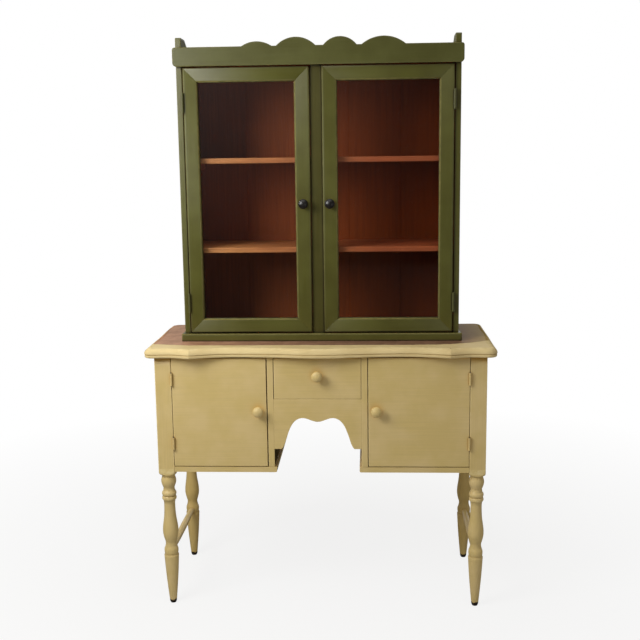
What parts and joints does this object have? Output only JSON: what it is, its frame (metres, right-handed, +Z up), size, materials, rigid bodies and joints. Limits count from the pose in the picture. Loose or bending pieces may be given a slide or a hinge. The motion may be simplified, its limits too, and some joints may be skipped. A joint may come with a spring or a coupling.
{
  "type": "kitchen hutch",
  "caption": "Painted hutch: a glazed display cabinet with a scalloped crest on a turned-leg base with cupboards, a drawer over a kneehole and a serpentine top.",
  "frame": {"origin": "on the floor under the middle of the outline", "axes": "+X to the right as seen from the front, the front faces -Y, +Z up"},
  "size_m": [0.976, 0.427, 1.608],
  "materials": {
    "cream_paint": "satin cream oil paint on wood, brushed",
    "green_paint": "satin olive green oil paint on wood, brushed",
    "red_brown_inside": "thin red-brown stain on boards",
    "bare_wood": "unfinished softwood",
    "window_glass": "clear, smooth",
    "black_knob": "gloss black enamel",
    "cream_hinge": "steel painted over in cream",
    "green_hinge": "steel painted over in green",
    "hinge_steel": "dull steel"
  },
  "bodies": {
    "carcass": {"apron": "cream_paint", "cabinet_back_boards": "red_brown_inside", "cabinet_base_board": "green_paint", "cabinet_hinge_pins": "hinge_steel", "cabinet_hinge_side_leaves": "green_hinge", "cabinet_middle_stile": "green_paint", "cabinet_side_left": "green_paint", "cabinet_side_right": "green_paint", "cabinet_top_board": "green_paint", "crest_board": "green_paint", "cupboard_door_stops": "bare_wood", "cupboard_floor_left": "cream_paint", "cupboard_floor_right": "cream_paint", "cupboard_hinge_pins": "hinge_steel", "cupboard_hinge_post_leaves": "cream_hinge", "drawer_runners": "bare_wood", "end_panel_left": "cream_paint", "end_panel_right": "cream_paint", "kneehole_wall_left": "cream_paint", "kneehole_wall_right": "cream_paint", "leg_front_left": "cream_paint", "leg_front_right": "cream_paint", "leg_rear_left": "cream_paint", "leg_rear_right": "cream_paint", "shelf_cleats": "red_brown_inside", "shelf_lower": "red_brown_inside", "shelf_upper": "red_brown_inside", "stand_back_panel": "cream_paint", "stretcher_left": "cream_paint", "stretcher_right": "cream_paint", "table_top": "cream_paint", "top_glue_blocks": "bare_wood"},
    "glazed_door_left_leaf": {"cabinet_hinge_door_leaves_left": "green_hinge", "glazed_door_left_beads": "green_paint", "glazed_door_left_bottom_rail": "green_paint", "glazed_door_left_glass": "window_glass", "glazed_door_left_inner_stile": "green_paint", "glazed_door_left_knob": "black_knob", "glazed_door_left_outer_stile": "green_paint", "glazed_door_left_top_rail": "green_paint"},
    "glazed_door_right_leaf": {"cabinet_hinge_door_leaves_right": "green_hinge", "glazed_door_right_beads": "green_paint", "glazed_door_right_bottom_rail": "green_paint", "glazed_door_right_glass": "window_glass", "glazed_door_right_inner_stile": "green_paint", "glazed_door_right_knob": "black_knob", "glazed_door_right_outer_stile": "green_paint", "glazed_door_right_top_rail": "green_paint"},
    "cupboard_door_left_leaf": {"cupboard_door_left": "cream_paint", "cupboard_hinge_door_leaves_left": "cream_hinge", "cupboard_knob_left": "cream_paint"},
    "cupboard_door_right_leaf": {"cupboard_door_right": "cream_paint", "cupboard_hinge_door_leaves_right": "cream_hinge", "cupboard_knob_right": "cream_paint"},
    "drawer": {"drawer_back": "bare_wood", "drawer_bottom": "bare_wood", "drawer_front": "cream_paint", "drawer_knob": "cream_paint", "drawer_side_left": "bare_wood", "drawer_side_right": "bare_wood"}
  },
  "joints": [
    {"name": "glazed_door_left_hinge", "type": "hinge", "parent": "carcass", "child": "glazed_door_left_leaf", "pos_m": [-0.37475, -0.0805, 1.15], "axis": [0, 0, -1], "range_deg": [0, 170]},
    {"name": "glazed_door_right_hinge", "type": "hinge", "parent": "carcass", "child": "glazed_door_right_leaf", "pos_m": [0.37475, -0.0805, 1.15], "axis": [0, 0, 1], "range_deg": [0, 170]},
    {"name": "cupboard_door_left_hinge", "type": "hinge", "parent": "carcass", "child": "cupboard_door_left_leaf", "pos_m": [-0.4145, -0.1835, 0.577], "axis": [0, 0, -1], "range_deg": [0, 170]},
    {"name": "cupboard_door_right_hinge", "type": "hinge", "parent": "carcass", "child": "cupboard_door_right_leaf", "pos_m": [0.4145, -0.1835, 0.577], "axis": [0, 0, 1], "range_deg": [0, 170]},
    {"name": "drawer_slide", "type": "slide", "parent": "carcass", "child": "drawer", "axis": [0, -1, 0], "range_m": [0, 0.25]}
  ]
}
